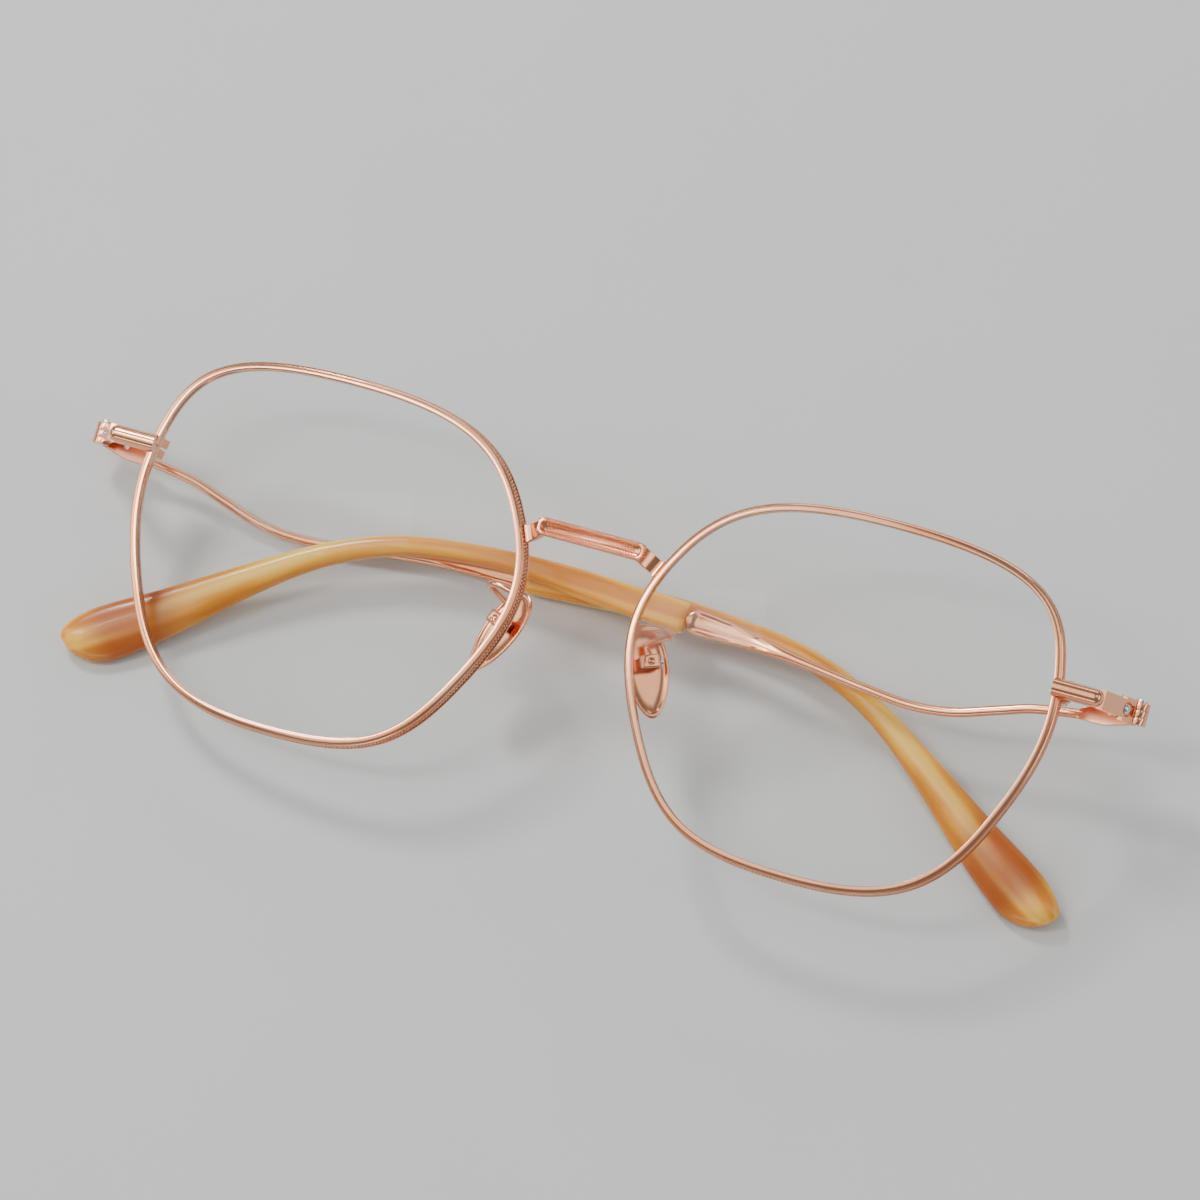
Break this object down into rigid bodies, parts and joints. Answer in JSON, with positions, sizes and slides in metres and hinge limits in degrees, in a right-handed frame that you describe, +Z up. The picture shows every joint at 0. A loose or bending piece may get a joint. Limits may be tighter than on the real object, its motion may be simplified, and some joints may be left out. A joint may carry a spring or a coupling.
{
  "type": "eyeglasses",
  "caption": "Wire eyeglasses with softly hexagonal rims, clear lenses, a straight sunk-panel bridge, waved folding temples, amber tips and rocking metal nose pads.",
  "frame": {"origin": "middle of the base of the folded pair as it lies on its temples", "axes": "+Z up, +X across the face towards the wearer's left, +Y towards the top of the face as the folded pair lies with its lenses up"},
  "size_m": [0.1362, 0.044, 0.0234],
  "materials": {
    "rose_gold": "polished rose-gold plating",
    "screw_steel": "bright steel",
    "lens": "clear, thin lens",
    "amber_tip": "glossy translucent honey-amber"
  },
  "bodies": {
    "front": {"bridge": "rose_gold", "rim_right": "rose_gold", "lens_right": "lens", "end_piece_right": "rose_gold", "closing_block_right": "rose_gold", "rim_screw_right": "screw_steel", "hinge_block_right": "rose_gold", "block_screw_right": "screw_steel", "pad_arm_right": "rose_gold", "pad_box_right": "rose_gold", "pad_screw_right": "screw_steel", "rim_left": "rose_gold", "lens_left": "lens", "end_piece_left": "rose_gold", "closing_block_left": "rose_gold", "rim_screw_left": "screw_steel", "hinge_block_left": "rose_gold", "block_screw_left": "screw_steel", "pad_arm_left": "rose_gold", "pad_box_left": "rose_gold", "pad_screw_left": "screw_steel"},
    "temple_right": {"temple_hinge_right": "rose_gold", "hinge_screw_right": "screw_steel", "temple_wire_right": "rose_gold", "temple_tip_right": "amber_tip"},
    "temple_left": {"temple_hinge_left": "rose_gold", "hinge_screw_left": "screw_steel", "temple_wire_left": "rose_gold", "temple_tip_left": "amber_tip"},
    "pad_right": {"nose_pad_right": "rose_gold", "pad_stud_right": "rose_gold"},
    "pad_left": {"nose_pad_left": "rose_gold", "pad_stud_left": "rose_gold"}
  },
  "joints": [
    {"name": "temple_right_fold", "type": "hinge", "parent": "front", "child": "temple_right", "pos_m": [-0.06698, 0.01024, 0.00461], "axis": [-0.0146, 0.9673, 0.2533], "range_deg": [0, 83]},
    {"name": "temple_left_fold", "type": "hinge", "parent": "front", "child": "temple_left", "pos_m": [0.06697, 0.01024, 0.01234], "axis": [0.0146, -0.9673, -0.2533], "range_deg": [0, 86]},
    {"name": "pad_right_rock", "type": "hinge", "parent": "front", "child": "pad_right", "pos_m": [-0.00975, -0.00069, 0.01101], "axis": [-0.828, 0.4342, -0.3548], "range_deg": [-6, 6]},
    {"name": "pad_left_rock", "type": "hinge", "parent": "front", "child": "pad_left", "pos_m": [0.0094, -0.00069, 0.01212], "axis": [0.8633, 0.4342, -0.2573], "range_deg": [-6, 6]}
  ]
}
